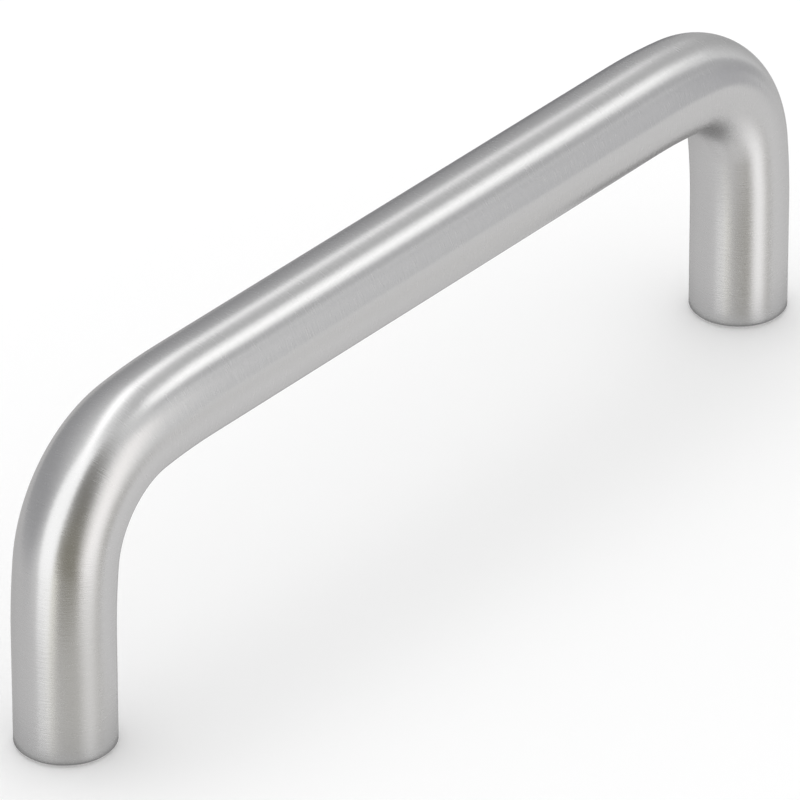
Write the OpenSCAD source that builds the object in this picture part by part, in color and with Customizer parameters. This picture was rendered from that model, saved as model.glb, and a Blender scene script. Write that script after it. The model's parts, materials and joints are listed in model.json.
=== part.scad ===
// U-shaped cabinet handle, bent from one solid round bar and held by a screw into each foot.
// The origin is midway between the feet, on the face of the cabinet. X runs along the grip
// and +Z points away from the cabinet.

/* [Grip] */
// Distance between the two screw holes, centre to centre
hole_spacing = 128; // [96:32:224]
// Diameter of the round bar
bar_d = 12; // [10:0.5:14]
// Room for the fingers, from the face of the cabinet to the underside of the grip
finger_room = 30; // [26:1:40]

/* [Bends] */
// Radius of the tight middle of a bend, on the inner side of the bar
bend_inner_r = 8; // [5:0.5:10]
// Radius of the bar's centre line where it runs into and out of a bend
ease_r = 75; // [50:5:90]
// Angle that the bar turns through where it runs into and out of a bend
ease_angle = 7; // [3:0.5:8]

/* [Feet] */
// Width of the chamfer round the rim of a foot
foot_chamfer = 0.5; // [0.2:0.1:1.5]

/* [Screw holes] */
// Nominal diameter of the screw thread
thread_d = 4; // [3:1:5]
// Pitch of the screw thread
thread_pitch = 0.7; // [0.5:0.1:0.8]
// Depth of a hole, without the cone that the drill leaves at its end
hole_depth = 12; // [8:1:16]
// Angle of the cone at the end of a hole
drill_point_angle = 118; // [90:1:140]
// How much wider than the thread the countersunk mouth of a hole is
mouth_extra = 0.6; // [0.2:0.1:1.2]
// Angle of the countersink at the mouth of a hole
mouth_angle = 90; // [60:5:120]

/* [Hidden] */

$fn = 120;
// Length by which a cutting shape stands out of the face that it opens
past = 1;

foot_x = hole_spacing / 2;
grip_z = finger_room + bar_d / 2;

// A bend's centre line is a slack arc, a tight arc and a slack arc, which turn a right angle in all
tight_r = bend_inner_r + bar_d / 2;
tight_angle = 90 - 2 * ease_angle;
// Distance that a bend takes up on each side of the corner that it rounds off
setback = ease_r * (sin(ease_angle) + 1 - cos(ease_angle))
    + tight_r * (cos(ease_angle) - sin(ease_angle));
half_grip = foot_x - setback;
leg_length = grip_z - setback;

// Centres of the arcs of the bend on the +X side, as [x, z]
lower_centre = [foot_x - ease_r, leg_length];
tight_centre = lower_centre + (ease_r - tight_r) * [cos(ease_angle), sin(ease_angle)];
upper_centre = [half_grip, grip_z - ease_r];

// The thread is cut in a hole of this diameter
core_d = thread_d - thread_pitch;
mouth_d = thread_d + mouth_extra;

// Moves to [x, z], by whole hundredths first and then by the small rest. That keeps every digit
// of the rest, so that stretches of bar which meet there share one face.
module place(point) {
    coarse = [for (value = point) round(value * 100) / 100];
    rest = point - coarse;
    translate([coarse[0], 0, coarse[1]])
        translate([rest[0], 0, rest[1]])
            children();
}

// A stretch of bar that turns about a centre, starting at an angle above the X axis
module arc(centre, radius, start_angle, turn) {
    place(centre)
        rotate([90, 0, 0])
            rotate_extrude(start = start_angle, angle = turn)
                translate([radius, 0])
                    circle(d = bar_d);
}

// The straight grip. It is drawn too long and cut square where the bends start.
module grip() {
    difference() {
        translate([0, 0, grip_z])
            rotate([0, 90, 0])
                cylinder(h = hole_spacing, d = bar_d, center = true);
        both_sides()
            place([half_grip, grip_z])
                translate([0, -bar_d, -bar_d])
                    cube([setback + past, 2 * bar_d, 2 * bar_d]);
    }
}

module bend() {
    arc(lower_centre, ease_r, 0, ease_angle);
    arc(tight_centre, tight_r, ease_angle, tight_angle);
    arc(upper_centre, ease_r, 90 - ease_angle, ease_angle);
}

// The straight leg below a bend, as it is before its end is faced
module leg() {
    place([foot_x, leg_length])
        rotate([180, 0, 0])
            cylinder(h = leg_length + past, d = bar_d);
}

// What is cut off the end of a leg, to leave a flat foot with a chamfered rim
module foot_facing() {
    translate([-bar_d, -bar_d, -2 * bar_d])
        cube(2 * bar_d);
    rotate_extrude()
        polygon([
            [bar_d / 2 - foot_chamfer - past, -past],
            [bar_d / 2 + past, -past],
            [bar_d / 2 + past, foot_chamfer + past]
        ]);
}

// A blind hole with a countersunk mouth
module screw_hole() {
    mouth_slope = tan(mouth_angle / 2);
    mouth_depth = (mouth_d - core_d) / 2 / mouth_slope;
    point_depth = core_d / 2 / tan(drill_point_angle / 2);
    rotate_extrude()
        polygon([
            [0, -past],
            [mouth_d / 2 + past * mouth_slope, -past],
            [core_d / 2, mouth_depth],
            [core_d / 2, hole_depth],
            [0, hole_depth + point_depth]
        ]);
}

module both_sides() {
    children();
    mirror([1, 0, 0])
        children();
}

module handle_bar() {
    color("silver")
        difference() {
            union() {
                grip();
                both_sides() {
                    bend();
                    leg();
                }
            }
            both_sides()
                translate([foot_x, 0, 0]) {
                    foot_facing();
                    screw_hole();
                }
        }
}

handle_bar();
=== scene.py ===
"""Looks of the U-shaped cabinet handle: one solid round bar of satin stainless steel, bent into a
grip and two legs, with a tapped hole in the face of each foot.

The sizes repeat those of the part's own source, in metres. The frame is the part's: the origin is
midway between the feet on the cabinet's face, X runs along the grip and +Z points away from it.
"""
import json
import math

import bmesh
import bpy
from bpy.props import FloatProperty, FloatVectorProperty, IntProperty, PointerProperty
from mathutils import Matrix, Vector


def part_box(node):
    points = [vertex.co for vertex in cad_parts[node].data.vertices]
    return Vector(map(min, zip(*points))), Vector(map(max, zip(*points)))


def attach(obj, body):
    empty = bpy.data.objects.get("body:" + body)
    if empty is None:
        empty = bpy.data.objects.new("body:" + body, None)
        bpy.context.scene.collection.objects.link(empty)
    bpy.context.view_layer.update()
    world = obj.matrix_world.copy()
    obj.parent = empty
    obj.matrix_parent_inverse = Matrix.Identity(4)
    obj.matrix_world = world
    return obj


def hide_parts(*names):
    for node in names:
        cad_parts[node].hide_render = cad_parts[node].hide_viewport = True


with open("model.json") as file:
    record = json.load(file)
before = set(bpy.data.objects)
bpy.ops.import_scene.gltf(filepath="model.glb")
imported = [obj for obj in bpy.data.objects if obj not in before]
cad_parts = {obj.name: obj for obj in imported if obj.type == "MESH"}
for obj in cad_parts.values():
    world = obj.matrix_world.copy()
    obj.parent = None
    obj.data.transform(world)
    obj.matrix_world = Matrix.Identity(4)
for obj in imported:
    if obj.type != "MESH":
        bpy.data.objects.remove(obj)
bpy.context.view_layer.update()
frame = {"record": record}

bl_info = {
    "name": "U-shaped cabinet handle",
    "version": (1, 0, 0),
    "blender": (4, 5, 0),
    "location": "View3D > Sidebar > Handle",
    "description": "Builds a satin steel bar handle and the stage that it is shown on",
    "category": "Object",
}

NODE = "handle_bar"
NODE_LOW, NODE_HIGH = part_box(NODE)
SCREW_HOLES = next(m for m in frame["record"]["mounts"] if m["name"] == "screw_holes")
MM = 0.001

BAR_D = NODE_HIGH.y - NODE_LOW.y
HOLE_SPACING = SCREW_HOLES["dims"]["spacing_x_mm"] * MM
CORE_R = SCREW_HOLES["dims"]["hole_r_mm"] * MM

# How many steps the stretches of the bar, the face of a foot and a turn of the thread are laid in
LEG_STEPS = 8
EASE_STEPS = 5
TIGHT_STEPS = 38
GRIP_STEPS = 40
FACE_RINGS = 6
ROWS_PER_TURN = 10

# The faces of the bar are shaded as one up to this angle between them
SHARP_ANGLE = math.radians(30)

# The furthest panel stands this far from the middle of the stage, and each next one is nearer
PANEL_REACH = 0.86
PANEL_STEP = 0.008
# The panels that the metal shows, from the furthest to the nearest: name, azimuth from +X towards
# +Y, elevation, turn, half width, half height, soft width, soft height, light. All but the last
# two were fitted by a program to the shading in the photograph and then rounded.
PANELS = (
    ("below", 144.5, -90.0, 32.4, 5.84, 6.44, 0.80, 0.97, (0.95, 0.94, 0.94)),
    ("back", 94.0, 17.0, 3.4, 2.40, 1.61, 1.60, 1.60, (0.50, 0.50, 0.51)),
    ("below_back", 107.2, -56.3, 66.7, 1.05, 2.83, 0.20, 0.03, (0.83, 0.82, 0.82)),
    ("right", 17.2, 19.5, 17.1, 0.51, 4.46, 0.51, 0.92, (0.69, 0.69, 0.69)),
    ("right_dark", 328.1, 7.8, -10.0, 0.34, 0.32, 0.18, 0.03, (0.59, 0.59, 0.61)),
    ("right_slant", 337.1, 21.6, -59.3, 0.69, 0.15, 0.03, 0.07, (0.61, 0.61, 0.62)),
    ("camera_side", 222.6, 34.5, 20.2, 0.66, 0.69, 0.59, 0.48, (0.28, 0.27, 0.25)),
    ("camera_low", 239.0, -11.8, -19.3, 2.10, 0.82, 1.56, 0.82, (0.29, 0.27, 0.21)),
    ("front_box", 266.9, 8.4, -27.6, 0.63, 0.67, 0.63, 0.03, (1.61, 1.57, 1.55)),
    ("front_low", 273.3, -36.2, 28.7, 0.45, 0.89, 0.45, 0.89, (1.71, 1.69, 1.70)),
    ("left_low", 183.8, -13.0, 35.5, 0.24, 0.45, 0.03, 0.29, (1.31, 1.28, 1.17)),
    ("left_box", 178.8, 22.2, -5.5, 0.36, 1.36, 0.14, 0.60, (1.66, 1.66, 1.66)),
    ("overhead", 72.1, 76.7, -49.4, 0.22, 1.49, 0.22, 1.49, (2.30, 2.28, 2.28)),
    ("right_box", 336.6, 51.4, -24.3, 0.36, 0.19, 0.23, 0.13, (2.20, 2.19, 2.18)),
    ("back_edge", 42.0, -14.0, 0.0, 0.14, 0.30, 0.08, 0.12, (0.31, 0.31, 0.33)),
    ("rim", 38.0, -30.0, 0.0, 0.22, 0.22, 0.15, 0.15, (0.46, 0.46, 0.46)),
)

# The round patches on the paper that the metal shows, from the lowest to the highest: name, side of
# the foot that it lies by, its place from that foot and its radius in millimetres, how much of the
# radius is soft, light, opacity. Each is painted shade, seen only in the metal: the paper patches
# dim the paper near the feet, and the shade and contact patches paint the shadow round a foot on
# the paper, darkest next to the foot.
PATCHES = (
    ("paper_left", -1, (-10, -30, 0.1), 38, 0.6, (0.80, 0.79, 0.76), 0.7),
    ("paper_right", 1, (-10, -30, 0.1), 38, 0.6, (0.80, 0.79, 0.76), 0.2),
    ("foot_shade_left", -1, (0, 0, 0.2), 18, 1.0, (0.60, 0.60, 0.60), 1.0),
    ("foot_contact_left", -1, (0, 0, 0.3), 6.9, 0.15, (0.30, 0.30, 0.30), 1.0),
    ("foot_shade_right", 1, (0, 0, 0.2), 18, 1.0, (0.60, 0.60, 0.60), 1.0),
    ("foot_contact_right", 1, (0, 0, 0.3), 6.9, 0.15, (0.30, 0.30, 0.30), 1.0),
)


class HandleShape(bpy.types.PropertyGroup):
    """Sizes of the bar, its bends, its feet and its screw holes"""
    bar_diameter: FloatProperty(
        name="Bar Diameter", description="Diameter of the round bar",
        default=BAR_D, unit="LENGTH")
    hole_spacing: FloatProperty(
        name="Hole Spacing", description="Distance between the two screw holes",
        default=HOLE_SPACING, unit="LENGTH")
    grip_height: FloatProperty(
        name="Grip Height", description="Height of the grip's centre line above the feet",
        default=NODE_HIGH.z - BAR_D / 2, unit="LENGTH")
    tight_radius: FloatProperty(
        name="Tight Radius", description="Centre-line radius of the middle of a bend",
        default=14 * MM, unit="LENGTH")
    ease_radius: FloatProperty(
        name="Ease Radius",
        description="Centre-line radius where the bar runs in and out of a bend",
        default=75 * MM, unit="LENGTH")
    ease_angle: FloatProperty(
        name="Ease Angle", description="Angle turned where the bar runs in and out of a bend",
        default=math.radians(7), subtype="ANGLE")
    foot_chamfer: FloatProperty(
        name="Foot Chamfer", description="Width of the chamfer round the rim of a foot",
        default=0.5 * MM, unit="LENGTH")
    edge_round: FloatProperty(
        name="Edge Round", description="Width by which the edges of a foot are broken",
        default=0.06 * MM, unit="LENGTH")
    core_radius: FloatProperty(
        name="Core Radius", description="Radius of the hole that the thread is cut in",
        default=CORE_R, unit="LENGTH")
    thread_diameter: FloatProperty(
        name="Thread Diameter", description="Nominal diameter of the screw thread",
        default=4 * MM, unit="LENGTH")
    thread_pitch: FloatProperty(
        name="Thread Pitch", description="Distance between two turns of the thread",
        default=0.7 * MM, unit="LENGTH")
    hole_depth: FloatProperty(
        name="Hole Depth", description="Depth of a hole without the cone at its end",
        default=12 * MM, unit="LENGTH")
    drill_point_angle: FloatProperty(
        name="Drill Point Angle", description="Angle of the cone at the end of a hole",
        default=math.radians(118), subtype="ANGLE")
    mouth_extra: FloatProperty(
        name="Mouth Extra", description="How much wider than the thread a hole's mouth is",
        default=0.6 * MM, unit="LENGTH")
    sides: IntProperty(
        name="Sides", description="Number of faces round the bar", default=128, min=24)


class SatinFinish(bpy.types.PropertyGroup):
    """Colour and grain of the brushed steel"""
    steel_colour: FloatVectorProperty(
        name="Steel Colour", description="Colour of the steel", subtype="COLOR", size=3,
        default=(0.56, 0.56, 0.56))
    colour_change: FloatProperty(
        name="Colour Change", description="How much lighter or darker the lines of the grain are",
        default=0.05, subtype="FACTOR")
    roughness: FloatProperty(
        name="Roughness", description="Mean roughness of the satin surface",
        default=0.26, subtype="FACTOR")
    roughness_change: FloatProperty(
        name="Roughness Change", description="How much rougher or finer the lines of the grain are",
        default=0.04, subtype="FACTOR")
    anisotropy: FloatProperty(
        name="Anisotropy",
        description="How much more the grain blurs along the bar than round it",
        default=0.61, subtype="FACTOR")
    edge_tint: FloatProperty(
        name="Edge Tint",
        description="How much of the light is kept where the steel is seen edge on",
        default=0.75, subtype="FACTOR")
    line_spacing: FloatProperty(
        name="Line Spacing", description="Distance along the bar between lines of the grain",
        default=0.13 * MM, unit="LENGTH")
    line_length: FloatProperty(
        name="Line Length", description="Length of a line of the grain, round the bar",
        default=1.6 * MM, unit="LENGTH")
    line_depth: FloatProperty(
        name="Line Depth", description="Depth of the lines of the grain",
        default=0.014 * MM, unit="LENGTH")


class Studio(bpy.types.PropertyGroup):
    """Camera, lamps and background"""
    azimuth: FloatProperty(
        name="Camera Azimuth", description="Direction of the camera, from -Y towards +X",
        default=math.radians(-51.887), subtype="ANGLE")
    elevation: FloatProperty(
        name="Camera Elevation", description="Height of the camera as an angle",
        default=math.radians(29.807), subtype="ANGLE")
    roll: FloatProperty(
        name="Camera Roll", description="Turn of the camera about its own axis",
        default=math.radians(-0.09), subtype="ANGLE")
    distance: FloatProperty(
        name="Camera Distance", description="From the camera to the point it looks at",
        default=1.2786, unit="LENGTH")
    look_at: FloatVectorProperty(
        name="Look At", description="Point in the middle of the picture", size=3,
        subtype="XYZ", default=(-0.002493, 0.0, 0.016753))
    lens: FloatProperty(
        name="Lens", description="Focal length in millimetres, on a 36 mm sensor", default=493.84)
    paper_colour: FloatVectorProperty(
        name="Paper Colour", description="Colour of the paper that the handle stands on",
        subtype="COLOR", size=3, default=(0.95, 0.95, 0.95))
    paper_size: FloatProperty(
        name="Paper Size", description="Length of a side of the paper", default=6.0, unit="LENGTH")
    fill: FloatProperty(
        name="Fill", description="Strength of the even light from all round", default=0.95)
    lamp_strength: FloatProperty(
        name="Lamp Strength", description="Brightness of the lamp overhead", default=1.0)
    lamp_way: FloatVectorProperty(
        name="Lamp Way", description="Direction from the handle to the lamp overhead", size=3,
        subtype="XYZ", default=(0.2, 0.3, 1.0))
    lamp_distance: FloatProperty(
        name="Lamp Distance", description="From the handle to the lamp overhead", default=1.6,
        unit="LENGTH")
    lamp_width: FloatProperty(
        name="Lamp Width", description="Width of the lamp overhead", default=1.6, unit="LENGTH")
    lamp_depth: FloatProperty(
        name="Lamp Depth", description="Depth of the lamp overhead", default=0.8, unit="LENGTH")


def ring_of(geom):
    """The vertices and edges of the newest ring in what an operator gives back."""
    verts = [g for g in geom if isinstance(g, bmesh.types.BMVert)]
    edges = [g for g in geom if isinstance(g, bmesh.types.BMEdge)]
    return verts, edges


class Bar:
    """A bar that is laid down ring by ring. The layer "unbent" holds where each point would be
    on a straight bar: x is the way along it, and y and z are the place round it."""

    def __init__(self, bm, centre, radius, grain_radius, sides):
        self.bm = bm
        self.unbent = bm.verts.layers.float_vector.new("unbent")
        made = bmesh.ops.create_circle(
            bm, cap_ends=False, segments=sides, radius=radius, matrix=Matrix.Translation(centre))
        self.verts = made["verts"]
        self.edges = list({e for v in self.verts for e in v.link_edges})
        self.along = 0.0
        for v in self.verts:
            out = (v.co - centre).normalized() * grain_radius
            v[self.unbent] = (0.0, out.x, out.y)

    def settle(self, geom, advance):
        """Takes the new ring as the last one, a way further along the bar."""
        self.verts, self.edges = ring_of(geom)
        self.along += advance
        for v in self.verts:
            v[self.unbent].x = self.along

    def straight(self, way, steps):
        """Goes on in a straight line."""
        for _ in range(steps):
            made = bmesh.ops.spin(
                self.bm, geom=self.verts + self.edges, cent=(0, 0, 0), axis=(0, 1, 0),
                dvec=way / steps, angle=0.0, steps=1, use_duplicate=False)
            self.settle(made["geom_last"], way.length / steps)

    def arc(self, centre, angle, radius, steps):
        """Turns about a line through centre along Y."""
        for _ in range(steps):
            made = bmesh.ops.spin(
                self.bm, geom=self.verts + self.edges, cent=centre, axis=(0, 1, 0),
                dvec=(0, 0, 0), angle=angle / steps, steps=1, use_duplicate=False)
            self.settle(made["geom_last"], radius * abs(angle) / steps)

    def step_to(self, centre, radius, rise, advance):
        """Adds a ring about the same centre line with another radius, rise further up."""
        made = bmesh.ops.extrude_edge_only(self.bm, edges=self.edges)
        verts, _ = ring_of(made["geom"])
        new = set(verts)
        edges = [e for e in ring_of(made["geom"])[1] if e.verts[0] in new and e.verts[1] in new]
        for v in verts:
            out = Vector((v.co.x - centre.x, v.co.y - centre.y, 0)).normalized()
            v.co = Vector((centre.x, centre.y, v.co.z + rise)) + out * radius
        self.settle(verts + edges, advance)


def bend_sizes(shape):
    """The length of a leg and half the grip, and the centres of the arcs of the bend on the +X
    side, from the leg up."""
    foot_x = shape.hole_spacing / 2
    ease = shape.ease_angle
    setback = (shape.ease_radius * (math.sin(ease) + 1 - math.cos(ease))
               + shape.tight_radius * (math.cos(ease) - math.sin(ease)))
    leg_length = shape.grip_height - setback
    half_grip = foot_x - setback
    step = shape.ease_radius - shape.tight_radius
    lower = Vector((foot_x - shape.ease_radius, 0, leg_length))
    tight = lower + step * Vector((math.cos(ease), 0, math.sin(ease)))
    upper = Vector((half_grip, 0, shape.grip_height - shape.ease_radius))
    return leg_length, half_grip, lower, tight, upper


def mirrored(point):
    """The same place at the other end of the handle."""
    return Vector((-point.x, point.y, point.z))


def lay_bar(bar, shape):
    """The outside of the bar, from the rim of the right foot to the rim of the left one."""
    leg_length, half_grip, lower, tight, upper = bend_sizes(shape)
    ease = shape.ease_angle
    tight_angle = math.pi / 2 - 2 * ease
    right = Vector((shape.hole_spacing / 2, 0, 0))
    radius = shape.bar_diameter / 2
    chamfer = shape.foot_chamfer
    bar.step_to(right, radius, chamfer, chamfer)
    leg = Vector((0, 0, leg_length - chamfer))
    bend = (
        (lower, ease, shape.ease_radius, EASE_STEPS),
        (tight, tight_angle, shape.tight_radius, TIGHT_STEPS),
        (upper, ease, shape.ease_radius, EASE_STEPS))
    bar.straight(leg, LEG_STEPS)
    for centre, angle, bend_radius, steps in bend:
        bar.arc(centre, -angle, bend_radius, steps)
    bar.straight(Vector((-2 * half_grip, 0, 0)), GRIP_STEPS)
    for centre, angle, bend_radius, steps in reversed(bend):
        bar.arc(mirrored(centre), -angle, bend_radius, steps)
    bar.straight(-leg, LEG_STEPS)
    bar.step_to(mirrored(right), radius - chamfer, -chamfer, chamfer)


def thread_depth(turn, way, shape, hole_length):
    """How far the thread's groove reaches into the wall, at a place round and along the hole. A
    quarter of each turn is crest and a quarter is root, and the last two turns run out."""
    pitch = shape.thread_pitch
    groove = shape.thread_diameter / 2 - shape.core_radius
    phase = (way / pitch - turn) % 1.0
    slope = 4.0 * (0.5 - abs(phase - 0.5)) - 0.5
    run_out = min(1.0, max(0.0, (hole_length - way) / (2 * pitch)))
    return groove * min(1.0, max(0.0, slope)) * run_out


def lay_foot(bar, shape, centre):
    """The face of a foot and its screw hole, from the rim inwards and up to the drill's point."""
    core = shape.core_radius
    mouth = (shape.thread_diameter + shape.mouth_extra) / 2
    rim = shape.bar_diameter / 2 - shape.foot_chamfer
    ring_width = (rim - mouth) / FACE_RINGS
    for k in range(FACE_RINGS):
        bar.step_to(centre, rim - ring_width * (k + 1), 0, ring_width)
    mouth_depth = mouth - core
    bar.step_to(centre, core, mouth_depth, mouth_depth)
    length = shape.hole_depth - mouth_depth
    rows = round(length / shape.thread_pitch * ROWS_PER_TURN)
    for k in range(rows):
        bar.step_to(centre, core, length / rows, length / rows)
        way = length * (k + 1) / rows
        for v in bar.verts:
            out = Vector((v.co.x - centre.x, v.co.y - centre.y, 0)).normalized()
            turn = math.atan2(out.y, out.x) / (2 * math.pi)
            v.co += out * thread_depth(turn, way, shape, length)
    point_depth = core / math.tan(shape.drill_point_angle / 2)
    bar.step_to(centre, core * 0.5, point_depth * 0.5, core * 0.5)
    tip = centre + Vector((0, 0, shape.hole_depth + point_depth))
    made = bmesh.ops.extrude_edge_only(bar.bm, edges=bar.edges)
    verts, _ = ring_of(made["geom"])
    bmesh.ops.pointmerge(bar.bm, verts=verts, merge_co=tip)


def rim_edges(bm, shape):
    """The edges round the feet that are sharp on a machine but never on a finished handle."""
    heights = (0.0, shape.foot_chamfer)
    radii = (shape.bar_diameter / 2 - shape.foot_chamfer, shape.bar_diameter / 2)
    near = 0.01 * MM
    found = []
    for e in bm.edges:
        a, b = (v.co for v in e.verts)
        if abs(a.z - b.z) > near:
            continue
        for height, radius in zip(heights, radii):
            if abs(a.z - height) < near and all(
                    abs(math.hypot(abs(p.x) - shape.hole_spacing / 2, p.y) - radius) < near
                    for p in (a, b)):
                found.append(e)
    return found


def turn_of(place):
    """The way round the bar of a place on the straight bar, in turns from -0.5 to 0.5."""
    return math.atan2(place.z, place.y) / (2 * math.pi)


def map_bar(bm, unbent, circumference):
    """U runs along the bar and V round it, in metres."""
    uv = bm.loops.layers.uv.new("bar")
    for face in bm.faces:
        turns = [turn_of(loop.vert[unbent]) for loop in face.loops]
        wraps = max(turns) - min(turns) > 0.5
        for loop, turn in zip(face.loops, turns):
            if wraps and turn < 0:
                turn += 1.0
            loop[uv].uv = (loop.vert[unbent].x, turn * circumference)


def set_feet_down(bm):
    """Puts the faces of the feet on the cabinet's face to the last digit."""
    for v in bm.verts:
        if abs(v.co.z) < 0.001 * MM:
            v.co.z = 0.0


def add_object(name, bm):
    """Ends the bmesh as a new object in the scene."""
    mesh = bpy.data.meshes.new(name)
    bm.to_mesh(mesh)
    bm.free()
    obj = bpy.data.objects.new(name, mesh)
    bpy.context.scene.collection.objects.link(obj)
    return obj


def make_bar(shape):
    """The bar with its bends and feet, as one closed piece."""
    bm = bmesh.new()
    right = Vector((shape.hole_spacing / 2, 0, 0))
    radius = shape.bar_diameter / 2
    rim = radius - shape.foot_chamfer
    bar = Bar(bm, right, rim, radius, shape.sides)
    first_verts, first_edges = bar.verts, bar.edges
    lay_bar(bar, shape)
    lay_foot(bar, shape, mirrored(right))
    bar.verts, bar.edges, bar.along = first_verts, first_edges, 0.0
    lay_foot(bar, shape, right)
    bmesh.ops.bevel(
        bm, geom=rim_edges(bm, shape), offset=shape.edge_round, affect="EDGES", segments=2,
        profile=0.5, material=-1)
    bmesh.ops.recalc_face_normals(bm, faces=bm.faces)
    set_feet_down(bm)
    for face in bm.faces:
        face.smooth = True
    map_bar(bm, bar.unbent, math.pi * shape.bar_diameter)
    piece = add_object("satin_bar", bm)
    piece.data.set_sharp_from_angle(angle=SHARP_ANGLE)
    return piece


def add_node(tree, kind, **settings):
    """A new shader node with its settings."""
    node = tree.nodes.new(kind)
    for name, value in settings.items():
        setattr(node, name, value)
    return node


def grain_group():
    """Lines of a brushed surface. The vector's x crosses the lines, and y and z run with them."""
    group = bpy.data.node_groups.new("brushed_grain", "ShaderNodeTree")
    put = group.interface
    put.new_socket("Vector", in_out="INPUT", socket_type="NodeSocketVector")
    for name in ("Line Spacing", "Line Length"):
        put.new_socket(name, in_out="INPUT", socket_type="NodeSocketFloat")
    put.new_socket("Lines", in_out="OUTPUT", socket_type="NodeSocketFloat")
    link = group.links.new
    source = add_node(group, "NodeGroupInput")
    result = add_node(group, "NodeGroupOutput")
    size = add_node(group, "ShaderNodeCombineXYZ")
    link(source.outputs["Line Spacing"], size.inputs[0])
    link(source.outputs["Line Length"], size.inputs[1])
    link(source.outputs["Line Length"], size.inputs[2])
    stretched = add_node(group, "ShaderNodeVectorMath", operation="DIVIDE")
    link(source.outputs["Vector"], stretched.inputs[0])
    link(size.outputs[0], stretched.inputs[1])
    lines = add_node(group, "ShaderNodeTexNoise", noise_dimensions="3D")
    lines.inputs["Scale"].default_value = 1.0
    lines.inputs["Detail"].default_value = 3.0
    lines.inputs["Roughness"].default_value = 0.6
    link(stretched.outputs[0], lines.inputs["Vector"])
    link(lines.outputs[0], result.inputs["Lines"])
    return group


def satin_steel(appearance):
    """Brushed steel. Its lines change the colour, the roughness and the bump alike."""
    material = bpy.data.materials.new("satin_steel")
    material.use_nodes = True
    tree = material.node_tree
    link = tree.links.new
    shader = tree.nodes["Principled BSDF"]
    shader.inputs["Metallic"].default_value = 1.0
    shader.inputs["Anisotropic"].default_value = appearance.anisotropy
    shader.inputs["Specular Tint"].default_value = (appearance.edge_tint,) * 3 + (1.0,)
    unbent = add_node(tree, "ShaderNodeAttribute", attribute_name="unbent")
    grain = add_node(tree, "ShaderNodeGroup")
    grain.node_tree = grain_group()
    grain.inputs["Line Spacing"].default_value = appearance.line_spacing
    grain.inputs["Line Length"].default_value = appearance.line_length
    link(unbent.outputs["Vector"], grain.inputs["Vector"])
    tint = add_node(tree, "ShaderNodeMix", data_type="RGBA")
    colour = Vector(appearance.steel_colour)
    tint.inputs["A"].default_value = (*(colour * (1 - appearance.colour_change)), 1.0)
    tint.inputs["B"].default_value = (*(colour * (1 + appearance.colour_change)), 1.0)
    link(grain.outputs["Lines"], tint.inputs["Factor"])
    link(tint.outputs["Result"], shader.inputs["Base Color"])
    rough = add_node(tree, "ShaderNodeMapRange")
    rough.inputs["To Min"].default_value = appearance.roughness - appearance.roughness_change
    rough.inputs["To Max"].default_value = appearance.roughness + appearance.roughness_change
    link(grain.outputs["Lines"], rough.inputs["Value"])
    link(rough.outputs["Result"], shader.inputs["Roughness"])
    bump = add_node(tree, "ShaderNodeBump")
    bump.inputs["Strength"].default_value = 1.0
    bump.inputs["Distance"].default_value = appearance.line_depth
    link(grain.outputs["Lines"], bump.inputs["Height"])
    link(bump.outputs["Normal"], shader.inputs["Normal"])
    tangent = add_node(tree, "ShaderNodeTangent", direction_type="UV_MAP", uv_map="bar")
    link(tangent.outputs["Tangent"], shader.inputs["Tangent"])
    return material


def white_for_camera(tree, fill, white):
    """The strength of the world: fill where it lights things, and white where the camera sees it,
    straight or in metal and glass."""
    path = add_node(tree, "ShaderNodeLightPath")
    first = add_node(tree, "ShaderNodeMath", operation="MAXIMUM")
    second = add_node(tree, "ShaderNodeMath", operation="MAXIMUM")
    tree.links.new(path.outputs["Is Camera Ray"], first.inputs[0])
    tree.links.new(path.outputs["Is Glossy Ray"], first.inputs[1])
    tree.links.new(first.outputs[0], second.inputs[0])
    tree.links.new(path.outputs["Is Transmission Ray"], second.inputs[1])
    mix = add_node(tree, "ShaderNodeMix", data_type="FLOAT")
    tree.links.new(second.outputs[0], mix.inputs["Factor"])
    mix.inputs["A"].default_value = fill
    mix.inputs["B"].default_value = white
    return mix.outputs["Result"]


def set_world(studio):
    """An even white room."""
    world = bpy.data.worlds.new("white_room")
    world.use_nodes = True
    tree = world.node_tree
    light = tree.nodes["Background"]
    light.inputs["Color"].default_value = (1, 1, 1, 1)
    tree.links.new(white_for_camera(tree, studio.fill, 1.0), light.inputs["Strength"])
    bpy.context.scene.world = world


def add_floor(studio):
    """White paper below the feet. The panels and patches stand for it in the metal."""
    bm = bmesh.new()
    bmesh.ops.create_grid(bm, x_segments=1, y_segments=1, size=studio.paper_size / 2)
    floor = add_object("floor", bm)
    material = bpy.data.materials.new("floor_paper")
    material.use_nodes = True
    shader = material.node_tree.nodes["Principled BSDF"]
    shader.inputs["Base Color"].default_value = (*studio.paper_colour, 1.0)
    shader.inputs["Roughness"].default_value = 0.9
    floor.data.materials.append(material)
    floor.visible_glossy = False


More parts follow.
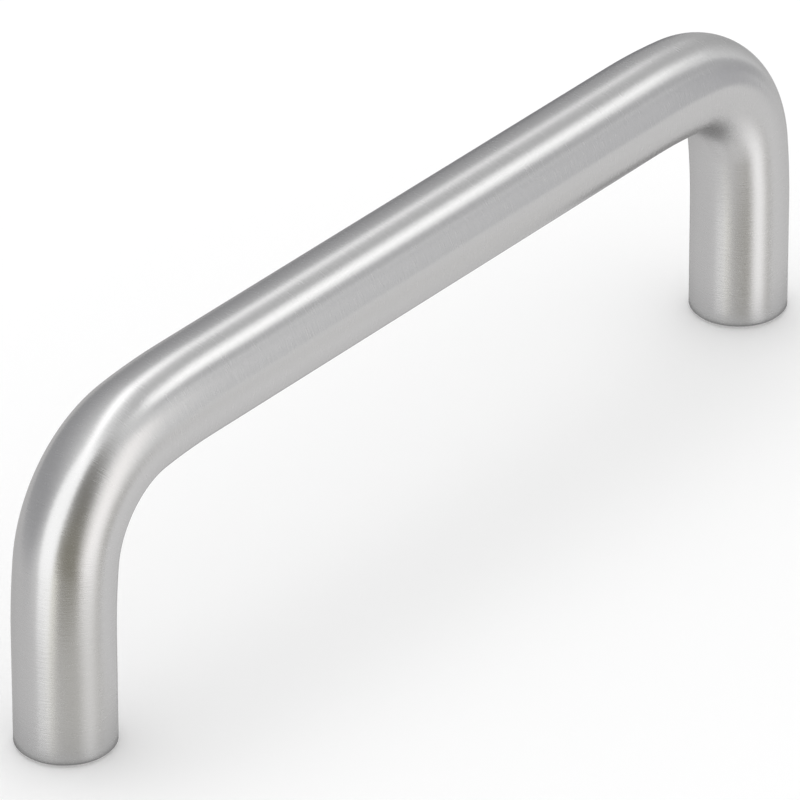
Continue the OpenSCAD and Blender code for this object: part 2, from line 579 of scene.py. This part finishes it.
def soft_edge_group():
    """1 on a panel and 0 at its rim, from a place on it that runs from -1 to 1 both ways."""
    group = bpy.data.node_groups.new("soft_edge", "ShaderNodeTree")
    put = group.interface
    put.new_socket("Vector", in_out="INPUT", socket_type="NodeSocketVector")
    for name in ("Soft Width", "Soft Height"):
        put.new_socket(name, in_out="INPUT", socket_type="NodeSocketFloat")
    put.new_socket("Mask", in_out="OUTPUT", socket_type="NodeSocketFloat")
    link = group.links.new
    source = add_node(group, "NodeGroupInput")
    result = add_node(group, "NodeGroupOutput")
    size = add_node(group, "ShaderNodeVectorMath", operation="ABSOLUTE")
    link(source.outputs["Vector"], size.inputs[0])
    split = add_node(group, "ShaderNodeSeparateXYZ")
    link(size.outputs[0], split.inputs[0])
    both = add_node(group, "ShaderNodeMath", operation="MULTIPLY")
    for way, soft in enumerate(("Soft Width", "Soft Height")):
        start = add_node(group, "ShaderNodeMath", operation="SUBTRACT")
        start.inputs[0].default_value = 1.0
        link(source.outputs[soft], start.inputs[1])
        fade = add_node(group, "ShaderNodeMapRange", interpolation_type="SMOOTHSTEP")
        link(split.outputs[way], fade.inputs["Value"])
        link(start.outputs[0], fade.inputs["From Min"])
        fade.inputs["From Max"].default_value = 1.0
        fade.inputs["To Min"].default_value = 1.0
        fade.inputs["To Max"].default_value = 0.0
        link(fade.outputs["Result"], both.inputs[way])
    link(both.outputs[0], result.inputs["Mask"])
    return group


def panel_material(name, light, soft, opacity, edge_group):
    """A black sheet that glows evenly and fades out towards its rim."""
    material = bpy.data.materials.new(name)
    material.use_nodes = True
    material.cycles.emission_sampling = "NONE"
    tree = material.node_tree
    shader = tree.nodes["Principled BSDF"]
    shader.inputs["Base Color"].default_value = (0, 0, 0, 1)
    shader.inputs["Roughness"].default_value = 1.0
    shader.inputs["Specular IOR Level"].default_value = 0.0
    shader.inputs["Emission Color"].default_value = (*light, 1.0)
    shader.inputs["Emission Strength"].default_value = 1.0
    place = add_node(tree, "ShaderNodeAttribute", attribute_name="place")
    edge = add_node(tree, "ShaderNodeGroup")
    edge.node_tree = edge_group
    edge.inputs["Soft Width"].default_value = soft[0]
    edge.inputs["Soft Height"].default_value = soft[1]
    tree.links.new(place.outputs["Vector"], edge.inputs["Vector"])
    strength = add_node(tree, "ShaderNodeMath", operation="MULTIPLY")
    tree.links.new(edge.outputs["Mask"], strength.inputs[0])
    strength.inputs[1].default_value = opacity
    tree.links.new(strength.outputs[0], shader.inputs["Alpha"])
    return material


def show_in_metal_only(obj):
    """Hides a panel or patch from all but the metal."""
    obj.visible_camera = False
    obj.visible_diffuse = False
    obj.visible_transmission = False
    obj.visible_shadow = False


def add_panel(name, distance, panel, edge_group):
    """A bowed panel round the stage, which only the metal shows. Its sizes are those that it would
    have at a distance of 1."""
    azimuth, elevation, turn, half_width, half_height, soft_width, soft_height, light = panel
    azimuth, elevation, turn = (math.radians(a) for a in (azimuth, elevation, turn))
    facing = Vector((math.cos(elevation) * math.cos(azimuth),
                     math.cos(elevation) * math.sin(azimuth), math.sin(elevation)))
    side = Vector((-math.sin(azimuth), math.cos(azimuth), 0))
    rise = facing.cross(side)
    across = side * math.cos(turn) + rise * math.sin(turn)
    upward = rise * math.cos(turn) - side * math.sin(turn)
    bm = bmesh.new()
    bmesh.ops.create_grid(bm, x_segments=32, y_segments=32, size=1.0)
    place = bm.verts.layers.float_vector.new("place")
    for v in bm.verts:
        v[place] = v.co.copy()
        way = facing + across * v.co.x * half_width + upward * v.co.y * half_height
        v.co = way.normalized() * distance
    obj = add_object(name, bm)
    soft = (min(1.0, soft_width / half_width), min(1.0, soft_height / half_height))
    obj.data.materials.append(panel_material(name, light, soft, 1.0, edge_group))
    show_in_metal_only(obj)


def add_patch(name, centre, radius, soft, light, opacity, edge_group):
    """A round patch of light or shade on the paper, which only the metal shows."""
    bm = bmesh.new()
    bmesh.ops.create_circle(bm, cap_ends=True, cap_tris=True, segments=64, radius=1.0)
    place = bm.verts.layers.float_vector.new("place")
    for v in bm.verts:
        v[place] = (v.co.length, 0, 0)
        v.co = centre + v.co * radius
    obj = add_object(name, bm)
    obj.data.materials.append(panel_material(name, light, (soft, 1.0), opacity, edge_group))
    show_in_metal_only(obj)


def add_lamp(studio):
    """An area lamp that lights the paper. The panels stand for it in the metal."""
    lamp = bpy.data.lights.new("overhead_lamp", "AREA")
    lamp.shape = "RECTANGLE"
    lamp.size = studio.lamp_width
    lamp.size_y = studio.lamp_depth
    lamp.energy = studio.lamp_strength * math.pi * studio.lamp_width * studio.lamp_depth
    way = Vector(studio.lamp_way)
    holder = bpy.data.objects.new("overhead_lamp", lamp)
    holder.location = way.normalized() * studio.lamp_distance
    holder.rotation_euler = (-way).to_track_quat("-Z", "Y").to_euler()
    holder.visible_glossy = False
    bpy.context.scene.collection.objects.link(holder)


def add_camera(studio):
    """The camera, from the direction, height and distance that the studio gives."""
    azimuth, elevation = studio.azimuth, studio.elevation
    back = Vector((math.sin(azimuth) * math.cos(elevation),
                   -math.cos(azimuth) * math.cos(elevation), math.sin(elevation)))
    right = Vector((math.cos(azimuth), math.sin(azimuth), 0))
    up = back.cross(right)
    lens = bpy.data.cameras.new("camera")
    lens.lens = studio.lens
    lens.sensor_width = 36.0
    lens.clip_end = 20.0
    camera = bpy.data.objects.new("camera", lens)
    place = Matrix.Translation(Vector(studio.look_at) + back * studio.distance)
    turn = Matrix((right, up, back)).transposed().to_4x4() @ Matrix.Rotation(studio.roll, 4, "Z")
    camera.matrix_world = place @ turn
    bpy.context.scene.collection.objects.link(camera)
    bpy.context.scene.camera = camera


class HANDLE_OT_bar(bpy.types.Operator):
    """Bends the bar, bores its feet and gives it its satin finish"""
    bl_idname = "handle.bar"
    bl_label = "Bend the Bar"

    def execute(self, context):
        scene = context.scene
        piece = make_bar(scene.handle_shape)
        piece.data.materials.append(satin_steel(scene.handle_finish))
        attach(piece, "root")
        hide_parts(NODE)
        return {"FINISHED"}


class HANDLE_OT_stage(bpy.types.Operator):
    """Sets up the floor, the lamps, the background and the camera"""
    bl_idname = "handle.stage"
    bl_label = "Set the Stage"

    def execute(self, context):
        studio = context.scene.handle_studio
        context.scene.view_settings.view_transform = "Standard"
        set_world(studio)
        add_floor(studio)
        edge_group = soft_edge_group()
        for nth, (name, *panel) in enumerate(PANELS):
            add_panel(name, PANEL_REACH - PANEL_STEP * nth, panel, edge_group)
        # Every patch is painted shade on the paper, shown only in the metal
        for name, side, place, radius, *appearance in PATCHES:
            foot = Vector((side * HOLE_SPACING / 2, 0, 0))
            add_patch(name, foot + Vector(place) * MM, radius * MM, *appearance, edge_group)
        add_lamp(studio)
        add_camera(studio)
        return {"FINISHED"}


class HANDLE_PT_panel(bpy.types.Panel):
    """Lists the sizes and the steps"""
    bl_idname = "HANDLE_PT_panel"
    bl_label = "Handle"
    bl_space_type = "VIEW_3D"
    bl_region_type = "UI"
    bl_category = "Handle"

    def draw(self, context):
        scene = context.scene
        for settings in (scene.handle_shape, scene.handle_finish, scene.handle_studio):
            box = self.layout.box()
            for name in settings.__annotations__:
                box.prop(settings, name)
        self.layout.operator("handle.bar")
        self.layout.operator("handle.stage")


CLASSES = (HandleShape, SatinFinish, Studio, HANDLE_OT_bar, HANDLE_OT_stage, HANDLE_PT_panel)


def register():
    """Makes the settings, steps and panel known."""
    for cls in CLASSES:
        bpy.utils.register_class(cls)
    bpy.types.Scene.handle_shape = PointerProperty(type=HandleShape)
    bpy.types.Scene.handle_finish = PointerProperty(type=SatinFinish)
    bpy.types.Scene.handle_studio = PointerProperty(type=Studio)


def unregister():
    """Takes the settings, steps and panel away again."""
    del bpy.types.Scene.handle_studio
    del bpy.types.Scene.handle_finish
    del bpy.types.Scene.handle_shape
    for cls in reversed(CLASSES):
        bpy.utils.unregister_class(cls)


def main():
    """Makes the handle and its stage."""
    register()
    bpy.ops.handle.bar()
    bpy.ops.handle.stage()


if __name__ == "__main__":
    main()
